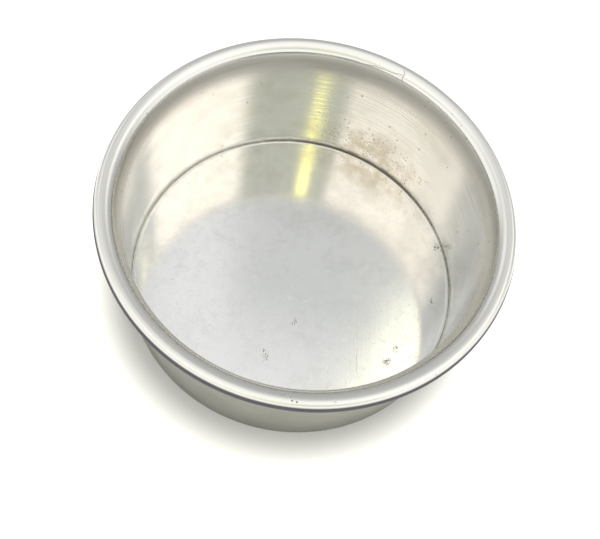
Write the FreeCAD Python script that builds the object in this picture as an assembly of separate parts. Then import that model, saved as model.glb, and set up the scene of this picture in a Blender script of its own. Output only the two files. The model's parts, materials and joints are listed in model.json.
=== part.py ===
"""Round loose-bottomed cake tin, in millimetres.

The tin is two pieces of aluminium sheet. The body is one drawn and spun shell: a straight wall whose
foot is turned inwards as a narrow ledge, and whose mouth flares outwards, rises over a round shoulder
and is rolled into a hollow curl.
The loose base is a flat disc that lies on the ledge and is pushed up through the tin to free a cake.

Frame: +Z up along the tin's axis, origin on the axis at the plane that the tin stands on.
"""
import FreeCAD
import Part

import math
import os

# Body sheet
inside_diameter = 152.4
overall_height = 69.5
sheet_thickness = 1.0

# Ledge at the foot of the wall
ledge_width = 7.0
bend_inside_radius = 0.4

# Flare, shoulder and hollow curl at the mouth
flare_radius = 18.6
flare_turn_deg = 30.0
shoulder_radius = 5.5
curl_radius = 3.0
curl_stop_deg = 28.0

# Loose base
base_thickness = 1.0
base_clearance = 0.35
base_edge_radius = 0.25

# Worked out from the sizes above
inside_radius = inside_diameter / 2
wall_outside_radius = inside_radius + sheet_thickness
bend_centre_radius = inside_radius - bend_inside_radius
bend_centre_height = sheet_thickness + bend_inside_radius
bend_outside_radius = bend_inside_radius + sheet_thickness
ledge_hole_radius = inside_radius - ledge_width
flare_turn = math.radians(flare_turn_deg)
flare_centre_radius = inside_radius + flare_radius
flare_to_shoulder = flare_radius - shoulder_radius
rim_top_radius = flare_centre_radius - flare_to_shoulder * math.cos(flare_turn)
shoulder_centre_height = overall_height - shoulder_radius
curl_centre_height = overall_height - curl_radius
flare_start_height = shoulder_centre_height - flare_to_shoulder * math.sin(flare_turn)
rim_outside_radius = rim_top_radius + curl_radius
base_radius = bend_centre_radius - base_clearance
base_underside_height = sheet_thickness

# Directions in the tin's section, in radians from outwards, anticlockwise to upwards
OUTWARDS = 0.0
UPWARDS = math.pi / 2
DOWNWARDS = -math.pi / 2
INWARDS = math.pi
FLARE_END = INWARDS - flare_turn
CURL_END = math.radians(curl_stop_deg) - INWARDS

AXIS_POINT = FreeCAD.Vector(0, 0, 0)
AXIS = FreeCAD.Vector(0, 0, 1)


def section_point(radius, height):
    """A point of the tin's section, which is drawn in the XZ plane."""
    return FreeCAD.Vector(radius, 0, height)


def on_circle(centre, radius, direction):
    """The point of a circle of the section that lies in a direction."""
    return centre + section_point(radius * math.cos(direction), radius * math.sin(direction))


def arc(centre, radius, start, end):
    """An edge along a circle of the section, from one direction to another."""
    middle = (start + end) / 2
    points = [on_circle(centre, radius, direction) for direction in (start, middle, end)]
    return Part.Arc(*points).toShape()


def line(start, end):
    """A straight edge of the section."""
    return Part.LineSegment(start, end).toShape()


def make_tin_body():
    """The wall, ledge, flare, shoulder and hollow curl, one sheet turned about the axis."""
    bend_centre = section_point(bend_centre_radius, bend_centre_height)
    flare_centre = section_point(flare_centre_radius, flare_start_height)
    shoulder_centre = section_point(rim_top_radius, shoulder_centre_height)
    curl_centre = section_point(rim_top_radius, curl_centre_height)
    flare_back_radius = flare_radius - sheet_thickness
    shoulder_back_radius = shoulder_radius - sheet_thickness
    curl_hollow_radius = curl_radius - sheet_thickness

    ledge_edge_low = section_point(ledge_hole_radius, 0)
    ledge_edge_high = section_point(ledge_hole_radius, sheet_thickness)
    outer_skin = [
        line(ledge_edge_low, on_circle(bend_centre, bend_outside_radius, DOWNWARDS)),
        arc(bend_centre, bend_outside_radius, DOWNWARDS, OUTWARDS),
        line(
            on_circle(bend_centre, bend_outside_radius, OUTWARDS),
            section_point(wall_outside_radius, flare_start_height),
        ),
        arc(flare_centre, flare_back_radius, INWARDS, FLARE_END),
        arc(shoulder_centre, shoulder_back_radius, FLARE_END, UPWARDS),
        arc(curl_centre, curl_hollow_radius, UPWARDS, CURL_END),
    ]
    curl_edge = line(
        on_circle(curl_centre, curl_hollow_radius, CURL_END),
        on_circle(curl_centre, curl_radius, CURL_END),
    )
    inner_skin = [
        arc(curl_centre, curl_radius, CURL_END, UPWARDS),
        arc(shoulder_centre, shoulder_radius, UPWARDS, FLARE_END),
        arc(flare_centre, flare_radius, FLARE_END, INWARDS),
        line(
            section_point(inside_radius, flare_start_height),
            on_circle(bend_centre, bend_inside_radius, OUTWARDS),
        ),
        arc(bend_centre, bend_inside_radius, OUTWARDS, DOWNWARDS),
        line(on_circle(bend_centre, bend_inside_radius, DOWNWARDS), ledge_edge_high),
    ]
    ledge_edge = line(ledge_edge_high, ledge_edge_low)
    outline = Part.Wire([*outer_skin, curl_edge, *inner_skin, ledge_edge])
    return Part.Face(outline).revolve(AXIS_POINT, AXIS, 360)


def make_loose_base():
    """The flat disc on the ledge, with its cut edge broken all round."""
    disc = Part.makeCylinder(base_radius, base_thickness, section_point(0, base_underside_height))
    rims = [edge for edge in disc.Edges if len(edge.Vertexes) == 1]
    return disc.makeFillet(base_edge_radius, rims)


def main():
    """Build each piece and write it to its own file."""
    os.makedirs("parts", exist_ok=True)
    pieces = {
        "tin_body": make_tin_body(),
        "loose_base": make_loose_base(),
    }
    for name, shape in pieces.items():
        if not shape.isValid():
            raise ValueError(f"{name} is not a valid solid")
        shape.exportStep(f"parts/{name}.step")
        print(f"{name}: {len(shape.Solids)} solid, {shape.Volume / 1000:.2f} cm3")
    print(f"rim outside diameter {2 * rim_outside_radius:.1f} mm, base diameter {2 * base_radius:.1f} mm")


main()
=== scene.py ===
"""Looks of a round loose-bottomed cake tin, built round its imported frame.

The tin body is one spun aluminium sheet with a hollow rolled rim, and the loose base is a flat disc of
mill-finish sheet that lies on the ledge inside the foot. Both are turned about the tin's axis from a
section by one Geometry Nodes tree, with the slight waves that thin sheet has, and get satin aluminium
finishes with spin lines, straight grain, scratches and baking stains. Metres, +Z up, origin on the axis
at the plane that the tin stands on.
"""

import json
import logging
import math
from dataclasses import dataclass
from enum import Enum

import bmesh
import bpy
from mathutils import Matrix, Vector

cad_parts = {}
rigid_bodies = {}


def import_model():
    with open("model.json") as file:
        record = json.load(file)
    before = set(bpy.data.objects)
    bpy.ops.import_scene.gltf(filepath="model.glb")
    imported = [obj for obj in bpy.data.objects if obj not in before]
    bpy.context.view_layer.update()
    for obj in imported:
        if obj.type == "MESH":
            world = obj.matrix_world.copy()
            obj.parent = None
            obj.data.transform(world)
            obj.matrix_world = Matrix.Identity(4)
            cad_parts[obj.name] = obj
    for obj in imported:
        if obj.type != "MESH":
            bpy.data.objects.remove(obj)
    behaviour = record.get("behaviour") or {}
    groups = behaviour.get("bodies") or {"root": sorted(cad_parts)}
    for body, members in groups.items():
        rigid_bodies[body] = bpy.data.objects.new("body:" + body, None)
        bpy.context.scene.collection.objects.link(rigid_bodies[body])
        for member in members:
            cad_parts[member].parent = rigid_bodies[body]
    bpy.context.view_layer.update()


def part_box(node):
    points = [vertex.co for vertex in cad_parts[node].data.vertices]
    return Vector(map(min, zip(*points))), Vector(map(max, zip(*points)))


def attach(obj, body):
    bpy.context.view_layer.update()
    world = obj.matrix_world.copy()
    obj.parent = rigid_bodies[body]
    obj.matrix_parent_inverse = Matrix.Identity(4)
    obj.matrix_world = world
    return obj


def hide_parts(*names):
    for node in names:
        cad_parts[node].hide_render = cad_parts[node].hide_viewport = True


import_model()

MM = 0.001
Point = tuple[float, float]
Colour = tuple[float, float, float]
LOG = logging.getLogger("cake_tin")


class Body(Enum):
    """The moving bodies of the frame."""

    TIN = "tin"
    BASE = "base"


class Slot(Enum):
    """The material slots of the record."""

    SPUN = "spun_aluminium"
    SHEET = "sheet_aluminium"


@dataclass(frozen=True)
class TinSizes:
    """Sizes of the tin in metres; the outer ones come from the frame."""

    rim_radius: float
    height: float
    base_radius: float
    base_low: float
    base_high: float
    inside_radius: float = 76.2 * MM
    sheet: float = 1.0 * MM
    ledge_width: float = 7.0 * MM
    bend_radius: float = 0.4 * MM
    flare_radius: float = 18.6 * MM
    flare_turn: float = math.radians(30.0)
    shoulder_radius: float = 5.5 * MM
    curl_radius: float = 3.0 * MM
    curl_stop: float = math.radians(28.0)
    base_edge: float = 0.4 * MM

    @classmethod
    def from_frame(cls) -> "TinSizes":
        """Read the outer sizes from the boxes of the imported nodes.

        Returns:
            The sizes of this tin.
        """
        _, body_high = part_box("tin_body")
        base_low, base_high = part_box("loose_base")
        return cls(
            rim_radius=body_high.x,
            height=body_high.z,
            base_radius=base_high.x,
            base_low=base_low.z,
            base_high=base_high.z,
        )

    @property
    def shoulder_centre(self) -> Point:
        """Radius and height of the middle of the rim's round shoulder."""
        return (self.rim_radius - self.curl_radius, self.height - self.shoulder_radius)

    @property
    def curl_centre(self) -> Point:
        """Radius and height of the middle of the rim's curl."""
        return (self.rim_radius - self.curl_radius, self.height - self.curl_radius)

    @property
    def flare_start(self) -> float:
        """Height at which the straight wall ends and the flare begins."""
        rise = (self.flare_radius - self.shoulder_radius) * math.sin(self.flare_turn)
        return self.shoulder_centre[1] - rise


def on_circle(centre: Point, radius: float, direction: float) -> Point:
    """The point of a circle of a section that lies in a direction.

    Args:
        centre: Radius and height of the circle's middle.
        radius: Radius of the circle.
        direction: The direction in radians, from outwards to upwards.

    Returns:
        Radius and height of the point.
    """
    return (centre[0] + radius * math.cos(direction), centre[1] + radius * math.sin(direction))


class Section:
    """A section of a turned piece: points of radius and height, in order along the sheet."""

    def __init__(self) -> None:
        """Start with no points and no named places."""
        self.points: list[Point] = []
        self.places: dict[str, int] = {}

    def line(self, end: Point, steps: int) -> None:
        """Add a straight run from the last point.

        Args:
            end: Radius and height of the run's end.
            steps: How many points the run gets.
        """
        if not self.points:
            self.points.append(end)
            return
        start = self.points[-1]
        for step in range(1, steps + 1):
            share = step / steps
            self.points.append(tuple(a + (b - a) * share for a, b in zip(start, end)))

    def arc(self, centre: Point, radius: float, start: float, end: float, steps: int) -> None:
        """Add a round run, with a straight step to its start if the last point is elsewhere.

        Args:
            centre: Radius and height of the circle's middle.
            radius: Radius of the circle.
            start: Direction of the first point, in radians from outwards to upwards.
            end: Direction of the last point.
            steps: How many points follow the first one.
        """
        for step in range(steps + 1):
            turn = start + (end - start) * step / steps
            point = on_circle(centre, radius, turn)
            if not self.points or math.dist(point, self.points[-1]) > 1e-7:
                self.points.append(point)

    def mark(self, name: str) -> None:
        """Name the place that the section has reached."""
        self.places[name] = len(self.points) - 1

    def place(self, name: str) -> float:
        """The length along the section at a named place, in metres."""
        return self.lengths()[self.places[name]]

    def lengths(self) -> list[float]:
        """The length along the section at each point.

        Returns:
            Lengths in metres from the first point.
        """
        along = [0.0]
        for before, after in zip(self.points, self.points[1:]):
            along.append(along[-1] + math.dist(before, after))
        return along


class Nodes:
    """Short ways to add nodes to a tree and to join them."""

    def __init__(self, tree: bpy.types.NodeTree) -> None:
        """Wrap a node tree.

        Args:
            tree: The tree that the nodes go into.
        """
        self.tree = tree

    def add(self, kind: str, settings: dict | None = None, **inputs: object) -> bpy.types.Node:
        """Add one node.

        Args:
            kind: The node's type name.
            settings: Attributes of the node, set before its inputs.
            inputs: Values or output sockets for the inputs, by name with _ for a space.

        Returns:
            The new node.
        """
        node = self.tree.nodes.new(kind)
        for name, value in (settings or {}).items():
            setattr(node, name, value)
        for name, value in inputs.items():
            self.feed(self.find(node, name.replace("_", " ")), value)
        return node

    @staticmethod
    def find(node: bpy.types.Node, name: str) -> bpy.types.NodeSocket:
        """The enabled input of a node with a name."""
        return next(s for s in node.inputs if s.name == name and s.enabled)

    def feed(self, socket: bpy.types.NodeSocket, value: object) -> None:
        """Give an input a link or a plain value.

        Args:
            socket: The input.
            value: An output socket to link, or a plain value.
        """
        if isinstance(value, bpy.types.NodeSocket):
            self.tree.links.new(value, socket)
        else:
            socket.default_value = value

    def math(self, operation: str, *values: object, clamp: bool = False) -> bpy.types.NodeSocket:
        """Add one Math node.

        Args:
            operation: The operation's name.
            values: Its operands, in order.
            clamp: Whether the result stays between 0 and 1.

        Returns:
            The result.
        """
        node = self.tree.nodes.new("ShaderNodeMath")
        node.operation = operation
        node.use_clamp = clamp
        for socket, value in zip(node.inputs, values):
            self.feed(socket, value)
        return node.outputs[0]

    def times(self, first: object, second: object) -> bpy.types.NodeSocket:
        """The product of two values or masks."""
        return self.math("MULTIPLY", first, second)

    def vector(self, operation: str, *values: object, **named: object) -> bpy.types.NodeSocket:
        """Add one Vector Math node.

        Args:
            operation: The operation's name.
            values: Its operands, in order.
            named: Further inputs by name.

        Returns:
            The result, a vector.
        """
        node = self.tree.nodes.new("ShaderNodeVectorMath")
        node.operation = operation
        for socket, value in zip(node.inputs, values):
            self.feed(socket, value)
        for name, value in named.items():
            self.feed(self.find(node, name), value)
        return node.outputs[0]

    def vector_length(self, vector: object) -> bpy.types.NodeSocket:
        """The length of a vector."""
        node = self.tree.nodes.new("ShaderNodeVectorMath")
        node.operation = "LENGTH"
        self.feed(node.inputs[0], vector)
        return node.outputs["Value"]

    def parts(self, vector: object) -> bpy.types.bpy_prop_collection:
        """The X, Y and Z of a vector."""
        return self.add("ShaderNodeSeparateXYZ", Vector=vector).outputs

    def joined(self, x: object, y: object, z: object = 0.0) -> bpy.types.NodeSocket:
        """A vector from its X, Y and Z."""
        return self.add("ShaderNodeCombineXYZ", X=x, Y=y, Z=z).outputs[0]

    def noise(
        self, vector: object, length: float, detail: float = 2.0, seed: float = 0.0
    ) -> bpy.types.NodeSocket:
        """Smooth noise about 0.5.

        Args:
            vector: Where the noise is read.
            length: How long its waves are, in metres.
            detail: How many finer waves lie on them.
            seed: Which noise it is.

        Returns:
            The noise, from 0 to 1.
        """
        moved = self.vector("ADD", vector, (seed, 0.37 * seed, 0.61 * seed))
        node = self.add("ShaderNodeTexNoise", Vector=moved, Scale=1.0 / length, Detail=detail)
        return node.outputs[0]

    def dots(
        self, place: object, cell: float, radius: float, share: object, seed: float
    ) -> bpy.types.NodeSocket:
        """Round dots strewn over a sheet by chance.

        Args:
            place: The place on the sheet, in metres.
            cell: How far apart the dots could lie, in metres.
            radius: The radius of the largest, in metres.
            share: Which share of the cells has a dot, from 0 to 1.
            seed: Which strewing it is.

        Returns:
            A mask, 1 inside a dot.
        """
        moved = self.vector("ADD", place, (seed, 0.37 * seed, 0.0))
        flat = {"voronoi_dimensions": "2D"}
        node = self.add("ShaderNodeTexVoronoi", flat, Vector=moved, Scale=1.0 / cell)
        draw = self.add("ShaderNodeSeparateColor", Color=node.outputs["Color"]).outputs
        reach = self.math("MULTIPLY_ADD", draw["Green"], 0.7 * radius / cell, 0.3 * radius / cell)
        inside = self.math("SUBTRACT", 1.0, self.math("DIVIDE", node.outputs["Distance"], reach))
        there = self.math("LESS_THAN", draw["Red"], share)
        return self.times(self.smooth(inside, 0.0, 0.5), there)

    def band(self, value: object, low: float, high: float, soft: float) -> bpy.types.NodeSocket:
        """A mask that is 1 from low to high, with soft edges."""
        rising = self.smooth(value, low - soft, low + soft)
        falling = self.smooth(value, high + soft, high - soft)
        return self.times(rising, falling)

    def sector(self, turn: object, centre: float, half: float, soft: float) -> bpy.types.NodeSocket:
        """A mask round the axis.

        Args:
            turn: The azimuth in radians.
            centre: The azimuth of the mask's middle, in degrees.
            half: Half its width in degrees.
            soft: Half the width of its edges in degrees.

        Returns:
            A mask, 1 inside the sector.
        """
        offset = self.math("WRAP", self.math("SUBTRACT", turn, math.radians(centre)), math.pi, -math.pi)
        away = self.math("ABSOLUTE", offset)
        return self.smooth(away, math.radians(half + soft), math.radians(half - soft))

    def spot(self, place: object, centre: Point, radius: float) -> bpy.types.NodeSocket:
        """A round mark on a sheet.

        Args:
            place: The place on the sheet, in metres.
            centre: The mark's middle.
            radius: Its radius.

        Returns:
            A mask, 1 inside the mark, with a soft edge.
        """
        away = self.vector_length(self.vector("SUBTRACT", place, (*centre, 0.0)))
        return self.smooth(away, radius, 0.4 * radius)

    def stroke(self, place: object, start: Point, end: Point, width: float) -> bpy.types.NodeSocket:
        """A straight thin mark on a sheet.

        Args:
            place: The place on the sheet, in metres.
            start: Where the mark begins.
            end: Where it ends.
            width: Half its width.

        Returns:
            A mask, 1 inside the mark, with a soft edge.
        """
        way = Vector((end[0] - start[0], end[1] - start[1], 0.0))
        offset = self.vector("SUBTRACT", place, (*start, 0.0))
        reached = self.add("ShaderNodeVectorMath", {"operation": "DOT_PRODUCT"})
        self.feed(reached.inputs[0], offset)
        self.feed(reached.inputs[1], way / way.length_squared)
        share = self.math("ADD", reached.outputs["Value"], 0.0, clamp=True)
        nearest = self.vector("SCALE", tuple(way), Scale=share)
        away = self.vector_length(self.vector("SUBTRACT", offset, nearest))
        return self.smooth(away, width, 0.3 * width)

    def most(self, *masks: object) -> bpy.types.NodeSocket:
        """The highest of some masks."""
        whole = masks[0]
        for mask in masks[1:]:
            whole = self.math("MAXIMUM", whole, mask)
        return whole

    def smooth(self, value: object, low: float, high: float) -> bpy.types.NodeSocket:
        """A smooth step of a value from 0 at low to 1 at high."""
        node = self.add("ShaderNodeMapRange", {"interpolation_type": "SMOOTHSTEP"}, Value=value)
        self.feed(node.inputs["From Min"], low)
        self.feed(node.inputs["From Max"], high)
        return node.outputs[0]

    def mix(self, share: object, first: object, second: object) -> bpy.types.NodeSocket:
        """Mix two colours.

        Args:
            share: How much of the second colour there is, from 0 to 1.
            first: A colour or an output socket.
            second: A colour or an output socket.

        Returns:
            The mixed colour.
        """
        node = self.tree.nodes.new("ShaderNodeMix")
        node.data_type = "RGBA"
        self.feed(self.find(node, "Factor"), share)
        for name, value in (("A", first), ("B", second)):
            whole = value if isinstance(value, bpy.types.NodeSocket) else (*value, 1.0)
            self.feed(self.find(node, name), whole)
        return self.enabled_output(node)

    @staticmethod
    def enabled_output(node: bpy.types.Node) -> bpy.types.NodeSocket:
        """The first output of a node that is in use."""
        return next(s for s in node.outputs if s.enabled)


@dataclass(frozen=True)
class SheetWaves:
    """The slight unevenness of thin sheet: its waves, the dings in its cut edge, and the seed."""

    radial: float
    vertical: float
    length: float
    seed: float
    ding_depth: float = 0.0
    ding_length: float = 4 * MM


class TurnedPiece:
    """A piece of sheet turned about the tin's axis by a Geometry Nodes tree."""

    UV_NAME = "sheet"
    EDGE_STRETCH = 0.2

    def __init__(
        self, name: str, section: Section, shares: dict[str, list[float]], grain: float | None = None
    ) -> None:
        """Keep what the piece is turned from.

        Args:
            name: The piece's name.
            section: Its section.
            shares: How far each point of the section follows the sheet's waves ("give") and the dings
                of a cut edge ("edge"), from 0 to 1.
            grain: For flat sheet the direction across its grain, in radians; None for spun sheet, whose
                section is closed and whose grain runs round the axis.
        """
        self.name = name
        self.section = section
        self.shares = shares
        self.grain = grain

    def section_object(self) -> bpy.types.Object:
        """The section as a string of points that carry their length along it and their give.

        Returns:
            An object that the tree reads.
        """
        points = [(radius, 0.0, height) for radius, height in self.section.points]
        mesh = bpy.data.meshes.new(f"{self.name}_section")
        mesh.from_pydata(points, [(i, i + 1) for i in range(len(points) - 1)], [])
        for label, values in {"along": self.section.lengths(), **self.shares}.items():
            mesh.attributes.new(label, "FLOAT", "POINT").data.foreach_set("value", values)
        holder = bpy.data.objects.new(self.name, mesh)
        bpy.context.scene.collection.objects.link(holder)
        return holder

    def tree(self) -> bpy.types.NodeTree:
        """Build the tree that turns the section.

        Returns:
            The Geometry Nodes tree, with named inputs for its sizes.
        """
        tree = bpy.data.node_groups.new(f"turn_{self.name}", "GeometryNodeTree")
        kinds = {
            "Section": "NodeSocketGeometry",
            "Columns": "NodeSocketInt",
            "Segments": "NodeSocketInt",
            "Section Length": "NodeSocketFloat",
            "Radial Wave": "NodeSocketFloat",
            "Vertical Wave": "NodeSocketFloat",
            "Wave Length": "NodeSocketFloat",
            "Wave Seed": "NodeSocketFloat",
            "Ding Depth": "NodeSocketFloat",
            "Ding Length": "NodeSocketFloat",
            "Finish": "NodeSocketMaterial",
        }
        for name, kind in kinds.items():
            tree.interface.new_socket(name=name, in_out="INPUT", socket_type=kind)
        tree.interface.new_socket(name="Piece", in_out="OUTPUT", socket_type="NodeSocketGeometry")
        nodes = Nodes(tree)
        given = nodes.add("NodeGroupInput").outputs

        counted = nodes.add("GeometryNodeAttributeDomainSize", Geometry=given["Section"])
        count = counted.outputs["Point Count"]
        rings = nodes.math("ADD", given["Segments"], 1.0)
        grid = nodes.add(
            "GeometryNodeMeshGrid",
            Size_X=1.0,
            Size_Y=1.0,
            Vertices_X=given["Columns"],
            Vertices_Y=rings,
        ).outputs["Mesh"]
        place = nodes.add("ShaderNodeSeparateXYZ", Vector=nodes.add("GeometryNodeInputPosition").outputs[0])
        spans = nodes.math("SUBTRACT", given["Columns"], 1.0)
        across = nodes.math("ADD", place.outputs["X"], 0.5)
        column = nodes.math("ROUND", nodes.times(across, spans))
        index = nodes.math("MODULO", column, count)
        turn = nodes.math("ADD", place.outputs["Y"], 0.5)

        def read(data_type: str, value: bpy.types.NodeSocket) -> bpy.types.NodeSocket:
            """Read a value at the section's point of this column."""
            node = nodes.add("GeometryNodeSampleIndex", {"data_type": data_type, "domain": "POINT"})
            nodes.feed(node.inputs["Geometry"], given["Section"])
            nodes.feed(nodes.find(node, "Value"), value)
            nodes.feed(node.inputs["Index"], index)
            return node.outputs[0]

        def carried(label: str) -> bpy.types.NodeSocket:
            """A value that the section's points carry."""
            node = nodes.add("GeometryNodeInputNamedAttribute", {"data_type": "FLOAT"}, Name=label)
            return read("FLOAT", node.outputs["Attribute"])

        position = read("FLOAT_VECTOR", nodes.add("GeometryNodeInputPosition").outputs[0])
        turned = nodes.add(
            "ShaderNodeVectorRotate",
            {"rotation_type": "Z_AXIS"},
            Vector=position,
            Angle=nodes.times(turn, math.tau),
        ).outputs[0]
        once_round = nodes.math("FLOOR", nodes.math("DIVIDE", column, count))
        along = nodes.math("MULTIPLY_ADD", once_round, given["Section Length"], carried("along"))

        noise = nodes.add(
            "ShaderNodeTexNoise",
            {"noise_dimensions": "4D"},
            Vector=turned,
            W=given["Wave Seed"],
            Scale=nodes.math("DIVIDE", 1.0, given["Wave Length"]),
            Detail=1.0,
        ).outputs[0]
        stray = nodes.times(nodes.math("SUBTRACT", noise, 0.5), carried("give"))
        outwards = nodes.vector("NORMALIZE", nodes.vector("MULTIPLY", turned, (1.0, 1.0, 0.0)))
        chance = nodes.add(
            "ShaderNodeTexNoise",
            {"noise_dimensions": "4D"},
            Vector=turned,
            W=given["Wave Seed"],
            Scale=nodes.math("DIVIDE", 1.0, given["Ding Length"]),
            Detail=2.0,
        ).outputs[0]
        ding = nodes.times(nodes.smooth(chance, 0.56, 0.72), carried("edge"))
        reach = nodes.times(stray, given["Radial Wave"])
        reach = nodes.math("SUBTRACT", reach, nodes.times(ding, given["Ding Depth"]))
        sideways = nodes.vector("SCALE", outwards, Scale=reach)
        upwards = nodes.add(
            "ShaderNodeCombineXYZ", Z=nodes.times(stray, given["Vertical Wave"])
        ).outputs[0]
        final = nodes.vector("ADD", turned, nodes.vector("ADD", sideways, upwards))

        store = nodes.add(
            "GeometryNodeStoreNamedAttribute",
            {"data_type": "FLOAT2", "domain": "CORNER"},
            Geometry=grid,
            Name=self.UV_NAME,
        )
        if self.grain is None:
            chart = nodes.joined(turn, along)
        else:
            chart = self.flat_chart(nodes, turned, outwards)
        nodes.feed(nodes.find(store, "Value"), chart)
        shaped = nodes.add("GeometryNodeSetPosition", Geometry=store.outputs[0], Position=final)
        merged = nodes.add("GeometryNodeMergeByDistance", Geometry=shaped.outputs[0], Distance=1e-6)
        smooth = nodes.add("GeometryNodeSetShadeSmooth", Geometry=merged.outputs[0], Shade_Smooth=True)
        whole = nodes.add("GeometryNodeRealizeInstances", Geometry=smooth.outputs[0])
        dressed = nodes.add(
            "GeometryNodeSetMaterial", Geometry=whole.outputs[0], Material=given["Finish"]
        )
        nodes.tree.links.new(dressed.outputs[0], nodes.add("NodeGroupOutput").inputs[0])
        return tree

    def flat_chart(
        self, nodes: Nodes, turned: bpy.types.NodeSocket, outwards: bpy.types.NodeSocket
    ) -> bpy.types.NodeSocket:
        """The place on flat sheet, across and along its grain; the edge is spread a little to have room.

        Args:
            nodes: The tree's nodes.
            turned: The point's place.
            outwards: The direction from the axis to it.

        Returns:
            The place in metres.
        """
        top = self.section.points[0][1]
        below = nodes.math("SUBTRACT", top, nodes.parts(turned)["Z"])
        spread = nodes.vector("SCALE", outwards, Scale=nodes.times(below, self.EDGE_STRETCH))
        return nodes.add(
            "ShaderNodeVectorRotate",
            {"rotation_type": "Z_AXIS"},
            Vector=nodes.vector("ADD", turned, spread),
            Angle=-self.grain,
        ).outputs[0]

    def build(self, finish: bpy.types.Material, segments: int, waves: SheetWaves) -> bpy.types.Object:
        """Turn the section and keep the result as a plain mesh.

        Args:
            finish: The piece's material.
            segments: How many steps the turn has.
            waves: The unevenness of the sheet.

        Returns:
            The finished object, at the origin.
        """
        holder = self.section_object()
        tree = self.tree()
        modifier = holder.modifiers.new("turn", "NODES")
        modifier.node_group = tree
        count = len(self.section.points)
        values = {
            "Columns": count + 1 if self.grain is None else count,
            "Segments": segments,
            "Section Length": self.section.lengths()[-1],
            "Radial Wave": waves.radial,
            "Vertical Wave": waves.vertical,
            "Wave Length": waves.length,
            "Wave Seed": waves.seed,
            "Ding Depth": waves.ding_depth,
            "Ding Length": waves.ding_length,
            "Finish": finish,
        }
        for item in tree.interface.items_tree:
            if item.name in values and item.in_out == "INPUT":
                modifier[item.identifier] = values[item.name]
        graph = bpy.context.evaluated_depsgraph_get()
        mesh = bpy.data.meshes.new_from_object(holder.evaluated_get(graph), depsgraph=graph)
        mesh.name = self.name
        section_mesh = holder.data
        holder.modifiers.remove(modifier)
        holder.data = mesh
        bpy.data.meshes.remove(section_mesh)
        self.face_outwards(mesh)
        return holder

    @staticmethod
    def face_outwards(mesh: bpy.types.Mesh) -> None:
        """Turn every face of a closed mesh outwards."""
        work = bmesh.new()
        work.from_mesh(mesh)
        bmesh.ops.recalc_face_normals(work, faces=work.faces)
        work.to_mesh(mesh)
        work.free()


class MetalShader:
    """A brushed metal material whose colour, gloss and small relief come from a finish's nodes."""

    # Direction of drawn-out highlights, in turns from the first axis of the sheet's chart
    BRUSH_TURN = 0.25

    def __init__(self, name: str, anisotropy: float) -> None:
        """Start the material.

        Args:
            name: The material's name.
            anisotropy: How much longer highlights are across the brush lines.
        """
        self.material = bpy.data.materials.new(name)
        self.material.use_nodes = True
        self.nodes = Nodes(self.material.node_tree)
        self.shader = self.material.node_tree.nodes["Principled BSDF"]
        self.shader.inputs["Anisotropic"].default_value = anisotropy
        self.shader.inputs["Anisotropic Rotation"].default_value = self.BRUSH_TURN
        tangent = {"direction_type": "UV_MAP", "uv_map": TurnedPiece.UV_NAME}
        self.tangent = self.nodes.add("ShaderNodeTangent", tangent).outputs[0]
        self.nodes.feed(self.shader.inputs["Tangent"], self.tangent)
        self.place = self.nodes.add("ShaderNodeTexCoord").outputs["Object"]
        self.at = self.nodes.parts(self.place)
        self.turn = self.nodes.math("ARCTAN2", self.at["Y"], self.at["X"])
        chart = self.nodes.add("ShaderNodeUVMap", {"uv_map": TurnedPiece.UV_NAME})
        self.chart = self.nodes.parts(chart.outputs[0])
        self.sheet = self.nodes.joined(self.chart["X"], self.chart["Y"])

    def unroll(self, girth_radius: float) -> None:
        """Measure the place on turned sheet in metres round the axis and along the section.

        Args:
            girth_radius: The radius at which lengths round the axis are true.
        """
        round_axis = self.nodes.times(self.turn, girth_radius)
        self.sheet = self.nodes.joined(round_axis, self.chart["Y"])

    def finish(
        self, colour: object, metal: object, roughness: object, height: object
    ) -> bpy.types.Material:
        """Join a finish's results to the shader.

        Args:
            colour: The colour.
            metal: How metallic the surface is, from 0 to 1.
            roughness: Its roughness.
            height: Its relief in metres.

        Returns:
            The material.
        """
        relief = self.nodes.add("ShaderNodeBump", Strength=1.0, Distance=1.0, Height=height)
        for name, value in (
            ("Base Color", colour),
            ("Metallic", metal),
            ("Roughness", roughness),
            ("Normal", relief.outputs[0]),
        ):
            self.nodes.feed(self.shader.inputs[name], value)
        return self.material


@dataclass(frozen=True)
class Roughening:
    """How much rougher than clean sheet each part and mark of the spun body is."""

    lines: float = 0.05
    outside: float = 0.2
    rim: float = 0.12
    flare: float = 0.15
    # The painted dark reflection and shade on the curl's outside is rougher as well
    dark_reflection: float = 0.3
    baked: float = 0.16
    dirt: float = 0.3


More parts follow.
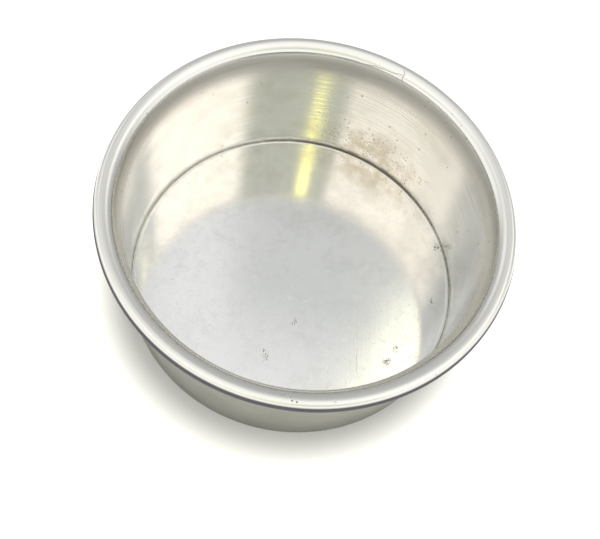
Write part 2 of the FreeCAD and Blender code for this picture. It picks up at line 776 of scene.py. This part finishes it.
@dataclass(frozen=True)
class BakingMarks:
    """Where baking has marked the wall, in degrees and metres, and how strongly, from 0 to 1."""

    azimuth: float = 72.0
    half_width: float = 14.0
    foot_half_width: float = 28.0
    side_fade: float = 16.0
    haze_low: float = 3 * MM
    haze_high: float = 42 * MM
    haze_fade: float = 14 * MM
    stain_high: float = 22 * MM
    stain_fade: float = 12 * MM
    haze: float = 0.16
    foot_haze: float = 0.3
    stain: float = 0.75
    flecks: float = 0.65
    fleck_share: float = 0.6
    spots: float = 0.45
    ring: float = 0.5

    def masks(
        self, metal: MetalShader, inside: bpy.types.NodeSocket
    ) -> tuple[bpy.types.NodeSocket, bpy.types.NodeSocket]:
        """Brown haze, stain and flecks, and dark crumbs, most of them at the back on the right.

        Args:
            metal: The material.
            inside: A mask of the body's inner skin; the outer one stays clean.

        Returns:
            Masks of the brown marks and of the crumbs.
        """
        nodes, height = metal.nodes, metal.at["Z"]
        rough_edge = nodes.noise(metal.place, 7 * MM, 4.0, 4.0)
        side = nodes.sector(metal.turn, self.azimuth, self.half_width, self.side_fade)
        corner = nodes.times(side, inside)
        wall = nodes.band(height, self.haze_low, self.haze_high, self.haze_fade)
        haze = nodes.times(corner, wall)
        haze = nodes.times(haze, nodes.smooth(rough_edge, 0.42, 0.75))

        wide_side = nodes.sector(metal.turn, self.azimuth, self.foot_half_width, self.side_fade)
        foot = nodes.times(wide_side, inside)
        low = nodes.math("MULTIPLY_ADD", rough_edge, -5 * MM, height)
        ring = nodes.times(foot, nodes.band(low, -4 * MM, 0.6 * MM, 0.9 * MM))
        foot_haze = nodes.times(foot, nodes.smooth(low, 8 * MM, 0.0))

        stain = nodes.times(corner, nodes.band(height, 0.0, self.stain_high, self.stain_fade))
        fleck_share = nodes.times(stain, self.fleck_share)
        flecks = nodes.dots(metal.sheet, 1.3 * MM, 0.9 * MM, fleck_share, 5.0)
        stain = nodes.times(stain, nodes.smooth(rough_edge, 0.25, 0.75))
        spots = nodes.times(nodes.dots(metal.sheet, 6 * MM, 0.75 * MM, 0.12, 6.0), inside)

        brown = nodes.most(
            nodes.times(haze, self.haze),
            nodes.times(foot_haze, self.foot_haze),
            nodes.times(stain, self.stain),
            nodes.times(flecks, self.flecks),
        )
        crumbs = nodes.most(
            nodes.times(spots, self.spots),
            nodes.times(ring, self.ring),
        )
        return brown, crumbs


@dataclass(frozen=True)
class SpunAluminium:
    """The body's finish: satin with spin lines round it, stained and speckled by baking, with a painted
    dark reflection on the outer skin and the curl's outside and painted shade in the flare's hollow.
    """

    name: str = "spun_aluminium_satin"
    bright: Colour = (0.87, 0.865, 0.835)
    dull: Colour = (0.79, 0.78, 0.735)
    # Painted dark reflection: the outer skin is the same aluminium, painted much darker than the inside in
    # place of the reflection of shaded floor
    outside: Colour = (0.33, 0.325, 0.295)
    # A still darker tone of the painted dark outer skin, mixed in at random
    painted_outside_mottle: Colour = (0.285, 0.28, 0.25)
    # Painted shade in the hollow of the flare
    shade: Colour = (0.74, 0.72, 0.685)
    rolled: Colour = (0.90, 0.90, 0.89)
    # Painted dark reflection and shade along the curl's outside
    dark_reflection: Colour = (0.05, 0.045, 0.055)
    baked: Colour = (0.52, 0.41, 0.24)
    crumb: Colour = (0.11, 0.09, 0.07)
    roughness: float = 0.155
    rougher: Roughening = Roughening()
    baking: BakingMarks = BakingMarks()
    anisotropy: float = 0.6
    line_pitch: float = 1.8 * MM
    line_depth: float = 0.070 * MM
    girth_radius: float = 76.2 * MM
    cloud_length: float = 15 * MM
    rim_fade: float = 1.5 * MM
    flare_fade: Point = (6 * MM, 17 * MM)
    # Where the painted dark reflection and shade on the curl lies past its cut edge, how much further it
    # reaches at the front, and how much it loses its metal
    dark_reflection_start: float = 5.2 * MM
    dark_reflection_end: float = 8.6 * MM
    dark_reflection_more: float = 1.6 * MM
    dark_reflection_metal_loss: float = 0.9
    dirt_metal_loss: float = 0.85
    dirt_height: float = 0.03 * MM
    crack_width: float = 0.22 * MM
    crack_runs: tuple[tuple[Point, ...], ...] = (
        ((83.0, -0.3 * MM), (78.9, -1.0 * MM), (73.9, -1.3 * MM), (70.5, -2.6 * MM)),
        ((71.0, -4.6 * MM), (70.2, -3.1 * MM), (70.3, -1.2 * MM), (69.9, 0.0)),
    )
    specks: tuple[tuple[float, float, float], ...] = (
        (-86.0, -4.6 * MM, 0.30 * MM),
        (-85.8, -3.9 * MM, 0.30 * MM),
        (-85.4, -4.6 * MM, 0.25 * MM),
        (-85.0, -4.0 * MM, 0.50 * MM),
        (-83.4, -4.6 * MM, 0.40 * MM),
        (-82.9, -5.9 * MM, 0.50 * MM),
        (-81.7, -6.2 * MM, 0.50 * MM),
    )
    swell_length: float = 16 * MM
    swell_depth: float = 0.05 * MM

    def build(self, section: Section) -> bpy.types.Material:
        """Make the material.

        Args:
            section: The body's section, whose named places say where each zone lies.

        Returns:
            The material.
        """
        metal = MetalShader(self.name, self.anisotropy)
        metal.unroll(self.girth_radius)
        nodes, along = metal.nodes, metal.chart["Y"]
        hollow, curl, shoulder_end = (section.place(name) for name in ("hollow", "curl", "shoulder_end"))
        flare_full, flare_none = (shoulder_end + past for past in self.flare_fade)
        lines = self.spin_lines(metal)
        cloud = nodes.noise(metal.place, self.cloud_length, 4.0, 1.0)
        outside = nodes.smooth(along, hollow + MM, hollow - MM)
        rim = nodes.band(along, curl, shoulder_end, self.rim_fade)
        flare = nodes.smooth(along, shoulder_end, shoulder_end + self.rim_fade)
        flare = nodes.times(flare, nodes.smooth(along, flare_none, flare_full))
        # Mask of the painted dark reflection and shade along the curl's outside
        painted_dark_line = self.rim_dark_reflection(metal, curl)
        baked, crumbs = self.baking.masks(metal, nodes.math("SUBTRACT", 1.0, outside))
        dirt = nodes.most(crumbs, self.rim_crack(metal, section), self.rim_specks(metal, section))
        self.turn_brush(metal, rim)

        half_cloud = nodes.times(cloud, 0.5)
        # Random mottle between the two painted dark tones of the outer skin
        outside_mottle = nodes.smooth(nodes.math("MULTIPLY_ADD", lines, 0.5, half_cloud), 0.36, 0.66)
        colour = nodes.mix(nodes.smooth(cloud, 0.4, 0.75), self.bright, self.dull)
        # Painted shade in the flare, painted dark reflection and shade on the curl, and painted dark
        # reflection on the outer skin; the baked and dirt marks are real
        for mask, tone in (
            (flare, self.shade),
            (rim, self.rolled),
            (painted_dark_line, self.dark_reflection),
            (outside, nodes.mix(outside_mottle, self.outside, self.painted_outside_mottle)),
            (baked, self.baked),
            (dirt, self.crumb),
        ):
            colour = nodes.mix(mask, colour, tone)
        roughness = nodes.math("MULTIPLY_ADD", cloud, 0.08, self.roughness - 0.04)
        for mask, more in (
            (lines, self.rougher.lines),
            (outside, self.rougher.outside),
            (rim, self.rougher.rim),
            (flare, self.rougher.flare),
            (painted_dark_line, self.rougher.dark_reflection),
            (baked, self.rougher.baked),
            (dirt, self.rougher.dirt),
        ):
            roughness = nodes.math("MULTIPLY_ADD", mask, more, roughness)
        swell = nodes.noise(metal.place, self.swell_length, 1.0, 7.0)
        height = nodes.times(lines, self.line_depth)
        height = nodes.math("MULTIPLY_ADD", swell, self.swell_depth, height)
        height = nodes.math("MULTIPLY_ADD", dirt, self.dirt_height, height)
        bare = nodes.math("SUBTRACT", 1.0, nodes.times(dirt, self.dirt_metal_loss))
        bare = nodes.math("MULTIPLY_ADD", painted_dark_line, -self.dark_reflection_metal_loss, bare, clamp=True)
        return metal.finish(colour, bare, roughness, height)

    def rim_dark_reflection(self, metal: MetalShader, curl: float) -> bpy.types.NodeSocket:
        """A painted dark reflection and shade: a dark line on the curl's outside, broad at the front and
        thin at the back.

        Args:
            metal: The material.
            curl: The length along the section at the curl's cut edge.

        Returns:
            A mask of the line.
        """
        nodes, along = metal.nodes, metal.chart["Y"]
        front = nodes.sector(metal.turn, -90.0, 92.0, 26.0)
        reached = nodes.math("MULTIPLY_ADD", front, -self.dark_reflection_more, along)
        start, end = curl + self.dark_reflection_start, curl + self.dark_reflection_end
        below_top = nodes.smooth(reached, end + 0.5 * MM, end - 0.5 * MM)
        above_foot = nodes.smooth(along, start - 0.8 * MM, start + 0.8 * MM)
        return nodes.times(below_top, above_foot)

    @staticmethod
    def turn_brush(metal: MetalShader, where: bpy.types.NodeSocket) -> None:
        """Draw highlights out round the tin instead of up and down the sheet, as on a rolled rim.

        Args:
            metal: The material.
            where: A mask of the part that is rolled.
        """
        nodes = metal.nodes
        normal = nodes.add("ShaderNodeNewGeometry").outputs["Normal"]
        across = nodes.vector("CROSS_PRODUCT", normal, metal.tangent)
        nodes.feed(metal.shader.inputs["Tangent"], nodes.mix(where, metal.tangent, across))

    def spin_lines(self, metal: MetalShader) -> bpy.types.NodeSocket:
        """Fine lines round the axis, which fade in and out along their way.

        Args:
            metal: The material.

        Returns:
            The lines, from 0 to 1.
        """
        nodes = metal.nodes
        slow = 0.025
        track = nodes.joined(
            nodes.times(metal.at["X"], slow),
            nodes.times(metal.at["Y"], slow),
            metal.chart["Y"],
        )
        return nodes.noise(track, self.line_pitch, 3.0, 2.0)

    def on_rim(self, section: Section, mark: Point) -> Point:
        """The place on the sheet of a mark on the rim.

        Args:
            section: The body's section.
            mark: The mark's azimuth in degrees and how far it lies past the shoulder's end, in metres.

        Returns:
            The place in metres round the tin and along the section.
        """
        return (math.radians(mark[0]) * self.girth_radius, section.place("shoulder_end") + mark[1])

    def rim_crack(self, metal: MetalShader, section: Section) -> bpy.types.NodeSocket:
        """A hairline crack along the shoulder, with a short arm across it at its end.

        Args:
            metal: The material.
            section: The body's section.

        Returns:
            A mask of the crack.
        """
        nodes = metal.nodes
        waver = nodes.math("SUBTRACT", nodes.noise(metal.place, 2.5 * MM, 3.0, 8.0), 0.5)
        place = nodes.vector("ADD", metal.sheet, nodes.joined(0.0, nodes.times(waver, 1.2 * MM)))
        marks = []
        for run in self.crack_runs:
            points = [self.on_rim(section, mark) for mark in run]
            marks += [nodes.stroke(place, a, b, self.crack_width) for a, b in zip(points, points[1:])]
        return nodes.times(nodes.most(*marks), 0.85)

    def rim_specks(self, metal: MetalShader, section: Section) -> bpy.types.NodeSocket:
        """A few dark specks on the rim at the front.

        Args:
            metal: The material.
            section: The body's section.

        Returns:
            A mask of the specks.
        """
        nodes = metal.nodes
        marks = []
        for turn, past, radius in self.specks:
            marks.append(nodes.spot(metal.sheet, self.on_rim(section, (turn, past)), radius))
        return nodes.most(*marks)


@dataclass(frozen=True)
class Scratch:
    """A scratch along the grain, in metres across and along it."""

    across: float
    start: float
    end: float
    width: float


@dataclass(frozen=True)
class PittedSpot:
    """A patch of small dark pits, in metres across and along the grain."""

    across: float
    along: float
    radius: float
    stretch: float = 0.8


@dataclass(frozen=True)
class MillAluminium:
    """The base's finish: bright mill sheet with straight grain, smudges, pits and scratches."""

    name: str = "mill_aluminium_sheet"
    bright: Colour = (0.89, 0.89, 0.885)
    dull: Colour = (0.80, 0.80, 0.795)
    pit: Colour = (0.22, 0.20, 0.18)
    roughness: float = 0.112
    anisotropy: float = 0.5
    grain_pitch: float = 0.8 * MM
    grain_depth: float = 0.003 * MM
    grain_rougher: float = 0.03
    drops_rougher: float = 0.05
    dirt_rougher: float = 0.3
    dirt_depth: float = 0.02 * MM
    dirt_metal_loss: float = 0.6
    scratches: tuple[Scratch, ...] = (
        Scratch(30.5 * MM, -48 * MM, -6 * MM, 0.16 * MM),
        Scratch(17.1 * MM, -51 * MM, -36 * MM, 0.14 * MM),
        Scratch(-24.0 * MM, -30 * MM, -12 * MM, 0.10 * MM),
    )
    spots: tuple[PittedSpot, ...] = (
        PittedSpot(1.4 * MM, -25 * MM, 3.0 * MM, 0.6),
        PittedSpot(-11.7 * MM, -43 * MM, 3.6 * MM, 0.5),
        PittedSpot(44.3 * MM, -42.3 * MM, 3.6 * MM),
        PittedSpot(48.9 * MM, -35.2 * MM, 2.8 * MM),
        PittedSpot(67.2 * MM, -9.5 * MM, 3.4 * MM, 0.6),
        PittedSpot(71.0 * MM, 20.0 * MM, 4.0 * MM),
    )

    def build(self) -> bpy.types.Material:
        """Make the material.

        Returns:
            The material.
        """
        metal = MetalShader(self.name, self.anisotropy)
        nodes = metal.nodes
        grain = self.grain(metal, self.grain_pitch, 0.02, 3.0)
        smudge = nodes.noise(metal.place, 22 * MM, 4.0, 1.0)
        mottle = nodes.noise(metal.place, 4 * MM, 3.0, 2.0)
        drops = nodes.dots(metal.sheet, 9 * MM, 1.5 * MM, 0.35, 3.0)
        pits, scores = self.pits(metal), self.scores(metal)
        dirt = nodes.most(pits, nodes.times(scores, 0.5))

        cloudy = nodes.math("MULTIPLY_ADD", mottle, 0.5, nodes.times(smudge, 0.5))
        colour = nodes.mix(nodes.smooth(cloudy, 0.42, 0.72), self.bright, self.dull)
        colour = nodes.mix(dirt, colour, self.pit)
        roughness = nodes.math("MULTIPLY_ADD", cloudy, 0.1, self.roughness - 0.05)
        for mask, more in (
            (grain, self.grain_rougher),
            (drops, self.drops_rougher),
            (dirt, self.dirt_rougher),
        ):
            roughness = nodes.math("MULTIPLY_ADD", mask, more, roughness)
        height = nodes.times(grain, self.grain_depth)
        height = nodes.math("MULTIPLY_ADD", dirt, -self.dirt_depth, height)
        bare = nodes.math("SUBTRACT", 1.0, nodes.times(dirt, self.dirt_metal_loss))
        return metal.finish(colour, bare, roughness, height)

    def grain(self, metal: MetalShader, pitch: float, slow: float, seed: float) -> bpy.types.NodeSocket:
        """Fine straight lines along the sheet.

        Args:
            metal: The material.
            pitch: How far apart the lines are.
            slow: How much slower the pattern changes along the lines than across them.
            seed: Which pattern it is.

        Returns:
            The grain, from 0 to 1.
        """
        nodes = metal.nodes
        track = nodes.joined(metal.chart["X"], nodes.times(metal.chart["Y"], slow))
        return nodes.noise(track, pitch, 3.0, seed)

    def pits(self, metal: MetalShader) -> bpy.types.NodeSocket:
        """Small dark pits: a few anywhere, and close together in the spots.

        Args:
            metal: The material.

        Returns:
            A mask of the pits.
        """
        nodes = metal.nodes
        few = nodes.dots(metal.sheet, 4 * MM, 0.3 * MM, 0.1, 4.0)
        near = nodes.most(*(self.spot_zone(metal, spot) for spot in self.spots))
        drawn_out = nodes.vector("MULTIPLY", metal.sheet, (1.0, 0.5, 1.0))
        fleck = nodes.noise(drawn_out, 0.6 * MM, 3.0, 5.0)
        close = nodes.smooth(nodes.math("MULTIPLY_ADD", near, 0.22, fleck), 0.66, 0.82)
        close = nodes.math("MULTIPLY_ADD", near, 0.08, close, clamp=True)
        return nodes.most(nodes.times(few, 0.7), close)

    @staticmethod
    def spot_zone(metal: MetalShader, spot: PittedSpot) -> bpy.types.NodeSocket:
        """How close a place is to the middle of a pitted spot; spots are long along the grain.

        Args:
            metal: The material.
            spot: The spot.

        Returns:
            1 at the spot's middle, falling to 0 at its edge.
        """
        nodes = metal.nodes
        offset = nodes.vector("SUBTRACT", metal.sheet, (spot.across, spot.along, 0.0))
        away = nodes.vector_length(nodes.vector("MULTIPLY", offset, (1.0, spot.stretch, 1.0)))
        return nodes.smooth(away, spot.radius, 0.0)

    def scores(self, metal: MetalShader) -> bpy.types.NodeSocket:
        """Scratches along the grain: some long ones, and faint short ones all over.

        Args:
            metal: The material.

        Returns:
            A mask of the scratches.
        """
        nodes = metal.nodes
        faint = nodes.smooth(self.grain(metal, 0.5 * MM, 0.012, 9.0), 0.7, 0.8)
        marks = nodes.times(faint, 0.35)
        broken = nodes.smooth(nodes.noise(metal.place, 3 * MM, 2.0, 6.0), 0.3, 0.55)
        for scratch in self.scratches:
            left, right = scratch.across - scratch.width, scratch.across + scratch.width
            across = nodes.band(metal.chart["X"], left, right, 0.5 * scratch.width)
            along = nodes.band(metal.chart["Y"], scratch.start, scratch.end, 3 * MM)
            mark = nodes.times(nodes.times(across, along), broken)
            marks = nodes.most(marks, mark)
        return marks


@dataclass
class TinBody:
    """The spun body: ledge, wall, flare, shoulder and hollow curl."""

    sizes: TinSizes
    finish: SpunAluminium = SpunAluminium()
    segments: int = 448
    waves: SheetWaves = SheetWaves(radial=0.25 * MM, vertical=0.0, length=60 * MM, seed=3.0)

    def section(self) -> Section:
        """Draw both skins of the sheet, from the ledge's edge round the curl and back.

        Returns:
            The closed section.
        """
        s = self.sizes
        bend = (s.inside_radius - s.bend_radius, s.sheet + s.bend_radius)
        flare = (s.inside_radius + s.flare_radius, s.flare_start)
        hole = s.inside_radius - s.ledge_width
        inwards, upwards, downwards = math.pi, math.pi / 2, -math.pi / 2
        flare_end, curl_end = math.pi - s.flare_turn, s.curl_stop - math.pi
        outer_bend = s.bend_radius + s.sheet
        section = Section()
        section.line((hole, 0.0), 1)
        section.line((bend[0], 0.0), 3)
        section.arc(bend, outer_bend, downwards, 0.0, 6)
        section.line((s.inside_radius + s.sheet, s.flare_start), 16)
        section.arc(flare, s.flare_radius - s.sheet, inwards, flare_end, 10)
        section.mark("hollow")
        section.arc(s.shoulder_centre, s.shoulder_radius - s.sheet, flare_end, upwards, 10)
        section.arc(s.curl_centre, s.curl_radius - s.sheet, upwards, curl_end, 22)
        section.line(on_circle(s.curl_centre, s.curl_radius, curl_end), 2)
        section.mark("curl")
        section.arc(s.curl_centre, s.curl_radius, curl_end, upwards, 34)
        section.arc(s.shoulder_centre, s.shoulder_radius, upwards, flare_end, 16)
        section.mark("shoulder_end")
        section.arc(flare, s.flare_radius, flare_end, inwards, 18)
        section.line((s.inside_radius, bend[1]), 16)
        section.arc(bend, s.bend_radius, 0.0, downwards, 4)
        section.line((hole, s.sheet), 3)
        return section

    def shares(self, section: Section) -> dict[str, list[float]]:
        """How far each point follows the sheet's waves: most at half height, none at foot and rim.

        Args:
            section: The body's section.

        Returns:
            Shares from 0 to 1 for each point; no edge of the body has dings.
        """
        heights = [min(max(height / self.sizes.flare_start, 0.0), 1.0) for _, height in section.points]
        return {"give": [4 * share * (1 - share) for share in heights], "edge": [0.0] * len(heights)}

    def build(self) -> bpy.types.Object:
        """Make the body and put it in the place of its node.

        Returns:
            The finished piece.
        """
        section = self.section()
        turned = TurnedPiece("tin_body_spun", section, self.shares(section))
        piece = turned.build(self.finish.build(section), self.segments, self.waves)
        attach(piece, Body.TIN.value)
        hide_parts("tin_body")
        return piece


@dataclass
class LooseBase:
    """The loose disc that lies on the ledge."""

    sizes: TinSizes
    finish: MillAluminium = MillAluminium()
    segments: int = 960
    grain_across: float = math.radians(10.5)
    edge_zone: float = 1.6 * MM
    burr_width: float = 0.6 * MM
    burr_height: float = 0.14 * MM
    waves: SheetWaves = SheetWaves(
        radial=0.0, vertical=0.25 * MM, length=70 * MM, seed=11.0, ding_depth=0.35 * MM, ding_length=3 * MM
    )

    def section(self) -> Section:
        """Draw the disc's section from the axis over its top and round its edge to the axis again.

        Returns:
            The open section.
        """
        s = self.sizes
        inner = s.base_radius - s.base_edge
        section = Section()
        section.line((0.0, s.base_high), 1)
        section.line((inner - self.edge_zone, s.base_high), 20)
        section.line((inner - self.burr_width, s.base_high), 3)
        section.line((inner, s.base_high + self.burr_height), 4)
        section.arc((inner, s.base_high + self.burr_height - s.base_edge), s.base_edge, math.pi / 2, 0.0, 6)
        section.arc((inner, s.base_low + s.base_edge), s.base_edge, 0.0, -math.pi / 2, 6)
        section.line((inner - self.edge_zone, s.base_low), 4)
        section.line((0.0, s.base_low), 20)
        return section

    def shares(self, section: Section) -> dict[str, list[float]]:
        """How far each point follows the waves, most in the middle, and the dings, only at the edge.

        Args:
            section: The disc's section.

        Returns:
            Shares from 0 to 1 for each point.
        """
        radii = [radius for radius, _ in section.points]
        inner = self.sizes.base_radius - self.edge_zone
        give = [(1 - (radius / self.sizes.base_radius) ** 2) ** 2 for radius in radii]
        edge = [max(0.0, (radius - inner) / self.edge_zone) ** 2 for radius in radii]
        return {"give": give, "edge": edge}

    def build(self) -> bpy.types.Object:
        """Make the disc and put it in the place of its node.

        Returns:
            The finished piece.
        """
        section = self.section()
        turned = TurnedPiece("loose_base_disc", section, self.shares(section), self.grain_across)
        piece = turned.build(self.finish.build(), self.segments, self.waves)
        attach(piece, Body.BASE.value)
        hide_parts("loose_base")
        return piece


@dataclass(frozen=True)
class PhotoCamera:
    """The camera of the photograph, in shares of the rim's radius and in degrees."""

    distance: float = 3.8172
    elevation: float = 59.0497
    yaw: float = 0.3924
    pitch: float = 4.5157
    roll: float = -13.6929
    aim_height: float = 0.7542
    focal_share: float = 804.5529 / 600
    sensor_mm: float = 36.0

    def place(self, sizes: TinSizes) -> bpy.types.Object:
        """Make the camera and set it as the scene's.

        Args:
            sizes: The tin's sizes; the camera aims near a point of the axis at the rim.

        Returns:
            The camera.
        """
        rise = math.radians(self.elevation)
        back = Vector((0.0, -math.cos(rise), math.sin(rise)))
        right = Vector((1.0, 0.0, 0.0))
        aimed = Matrix((right, back.cross(right), back))
        for angle, axis in ((self.yaw, "Y"), (self.pitch, "X"), (self.roll, "Z")):
            aimed = Matrix.Rotation(math.radians(angle), 3, axis) @ aimed
        eye = (back * self.distance + Vector((0.0, 0.0, self.aim_height))) * sizes.rim_radius
        data = bpy.data.cameras.new("photo_camera")
        data.sensor_width = self.sensor_mm
        data.lens = self.focal_share * self.sensor_mm
        data.clip_start = 0.01
        camera = bpy.data.objects.new("photo_camera", data)
        camera.matrix_world = Matrix.Translation(eye) @ aimed.transposed().to_4x4()
        bpy.context.scene.collection.objects.link(camera)
        bpy.context.scene.camera = camera
        return camera


@dataclass(frozen=True)
class RoomPatch:
    """A part of the room round the tin that is lighter or darker, in degrees; its edges are soft."""

    name: str
    azimuth: float
    half_width: float
    low: float
    high: float
    colour: Colour
    soft: float = 4.0


@dataclass(frozen=True)
class Studio:
    """The pale floor and the soft room that lights the tin."""

    floor_half: float = 3.0
    floor_colour: Colour = (0.69, 0.69, 0.645)
    floor_lift: Colour = (0.05, 0.05, 0.08)
    floor_roughness: float = 0.9
    lamp_strength: float = 3.4
    lamp_width: float = 16.0
    lamp_rise: float = 88.0
    lamp_azimuth: float = 60.0
    near_heights: tuple[tuple[float, Colour], ...] = (
        (0.0, (0.40, 0.40, 0.38)),
        (9.0, (0.45, 0.45, 0.43)),
        (15.0, (1.15, 1.15, 1.10)),
        (34.0, (1.15, 1.15, 1.10)),
        (43.0, (0.60, 0.61, 0.53)),
        (60.0, (0.58, 0.60, 0.51)),
        (68.0, (1.00, 1.00, 0.96)),
        (74.0, (1.06, 1.06, 1.03)),
    )
    far_heights: tuple[tuple[float, Colour], ...] = (
        (0.0, (0.40, 0.40, 0.39)),
        (23.0, (0.46, 0.46, 0.45)),
        (41.0, (0.47, 0.47, 0.46)),
        (56.0, (0.53, 0.54, 0.52)),
        (61.0, (0.67, 0.68, 0.66)),
        (63.8, (0.68, 0.69, 0.68)),
        (64.8, (0.57, 0.59, 0.59)),
        (66.0, (0.58, 0.60, 0.60)),
        (67.0, (0.76, 0.77, 0.76)),
        (74.0, (0.94, 0.94, 0.92)),
        (77.0, (1.06, 1.06, 1.03)),
    )
    patches: tuple[RoomPatch, ...] = (
        RoomPatch("low_right", -5.0, 25.0, 6.0, 40.0, (1.10, 1.10, 1.05), 5.0),
        RoomPatch("low_left", 186.0, 25.0, 6.0, 40.0, (1.10, 1.10, 1.05), 5.0),
        RoomPatch("far_right", 44.0, 15.0, 29.0, 51.0, (1.20, 1.20, 1.15), 5.0),
        RoomPatch("far_left", 139.0, 14.0, 30.0, 51.0, (1.20, 1.20, 1.14), 5.0),
        RoomPatch("window", 3.0, 38.0, 45.0, 66.0, (1.58, 1.49, 1.33), 5.0),
        RoomPatch("warm_side", 217.0, 44.0, 49.0, 66.0, (1.46, 1.36, 1.21), 4.0),
        RoomPatch("right_shade", 187.0, 12.0, 48.0, 64.0, (1.15, 1.08, 0.97), 4.0),
        RoomPatch("far_shade", 130.0, 11.0, 54.5, 60.0, (0.45, 0.45, 0.44), 3.0),
        RoomPatch("warm_top", 165.0, 18.0, 58.0, 68.0, (1.32, 1.23, 1.09), 4.0),
        RoomPatch("far_panel", 107.0, 7.5, 57.5, 74.0, (0.89, 0.89, 0.88), 3.5),
        RoomPatch("high_panel", 65.0, 7.5, 62.6, 74.0, (1.55, 1.53, 1.24), 1.3),
        RoomPatch("small_lamp", 279.3, 3.0, 53.6, 66.0, (3.40, 3.18, 0.92), 3.6),
    )

    def floor(self) -> bpy.types.Object:
        """Lay the floor; what the light leaves short of white is added where it is seen.

        Returns:
            The floor.
        """
        half = self.floor_half
        mesh = bpy.data.meshes.new("floor")
        corners = [(-half, -half, 0.0), (half, -half, 0.0), (half, half, 0.0), (-half, half, 0.0)]
        mesh.from_pydata(corners, [], [(0, 1, 2, 3)])
        floor = bpy.data.objects.new("floor", mesh)
        bpy.context.scene.collection.objects.link(floor)
        material = bpy.data.materials.new("pale_floor")
        material.use_nodes = True
        shader = material.node_tree.nodes["Principled BSDF"]
        shader.inputs["Base Color"].default_value = (*self.floor_colour, 1.0)
        shader.inputs["Roughness"].default_value = self.floor_roughness
        shader.inputs["Specular IOR Level"].default_value = 0.0
        shader.inputs["Emission Color"].default_value = (*self.floor_lift, 1.0)
        nodes = Nodes(material.node_tree)
        rays = nodes.add("ShaderNodeLightPath").outputs
        seen = nodes.math("MAXIMUM", rays["Is Camera Ray"], rays["Is Glossy Ray"])
        seen = nodes.math("MAXIMUM", seen, rays["Is Transmission Ray"])
        nodes.feed(shader.inputs["Emission Strength"], seen)
        mesh.materials.append(material)
        return floor

    def world(self) -> None:
        """Light the scene all round: dim at the horizon, bright overhead, with the room's patches."""
        world = bpy.data.worlds.new("soft_room")
        world.use_nodes = True
        bpy.context.scene.world = world
        nodes = Nodes(world.node_tree)
        parts = nodes.parts(nodes.add("ShaderNodeTexCoord").outputs["Generated"])
        turn = nodes.math("ARCTAN2", parts["Y"], parts["X"])
        rise = nodes.times(nodes.math("ARCSINE", parts["Z"]), 180.0 / math.pi)
        near = self.by_height(nodes, rise, self.near_heights)
        far = self.by_height(nodes, rise, self.far_heights)
        light = nodes.mix(nodes.smooth(parts["Y"], -0.25, 0.25), near, far)
        for patch in self.patches:
            aside = nodes.sector(turn, patch.azimuth, patch.half_width, min(patch.soft, patch.half_width))
            share = nodes.times(aside, nodes.band(rise, patch.low, patch.high, patch.soft))
            light = nodes.mix(share, light, patch.colour)
        background = world.node_tree.nodes["Background"]
        nodes.feed(background.inputs["Color"], light)
        background.inputs["Strength"].default_value = 1.0

    @staticmethod
    def by_height(
        nodes: Nodes, rise: bpy.types.NodeSocket, heights: tuple[tuple[float, Colour], ...]
    ) -> bpy.types.NodeSocket:
        """The room's light by how high one looks.

        Args:
            nodes: The world's nodes.
            rise: The direction's elevation in degrees.
            heights: Elevations in degrees, with the light at each.

        Returns:
            The light.
        """
        ramp = nodes.add("ShaderNodeValToRGB", Fac=nodes.math("DIVIDE", rise, 90.0))
        stops = ramp.color_ramp.elements
        while len(stops) < len(heights):
            stops.new(1.0)
        for stop, (height, colour) in zip(stops, heights):
            stop.position = height / 90.0
            stop.color = (*colour, 1.0)
        return ramp.outputs[0]

    def lamp(self) -> None:
        """Hang a soft lamp high behind the tin, which lights the floor and leaves the metal to the room."""
        data = bpy.data.lights.new("floor_lamp", "SUN")
        data.energy = self.lamp_strength
        data.angle = math.radians(self.lamp_width)
        lamp = bpy.data.objects.new("floor_lamp", data)
        rise, turn = math.radians(self.lamp_rise), math.radians(self.lamp_azimuth)
        towards = Vector((math.cos(rise) * math.cos(turn), math.cos(rise) * math.sin(turn), math.sin(rise)))
        lamp.rotation_euler = towards.to_track_quat("Z", "Y").to_euler()
        lamp.visible_glossy = False
        bpy.context.scene.collection.objects.link(lamp)

    def build(self) -> None:
        """Lay the floor, light the scene and set plain colour management."""
        self.floor()
        self.world()
        self.lamp()
        bpy.context.scene.view_settings.view_transform = "Standard"


def main() -> None:
    """Build the studio, the camera and each piece in order."""
    logging.basicConfig(level=logging.INFO)
    for existing in list(bpy.data.objects):
        if existing.name in ("Cube", "Light", "Camera"):
            bpy.data.objects.remove(existing)
    sizes = TinSizes.from_frame()
    Studio().build()
    PhotoCamera().place(sizes)
    for assembly in (TinBody(sizes), LooseBase(sizes)):
        piece = assembly.build()
        LOG.info("%s: %d faces", piece.name, len(piece.data.polygons))


if __name__ == "__main__":
    main()
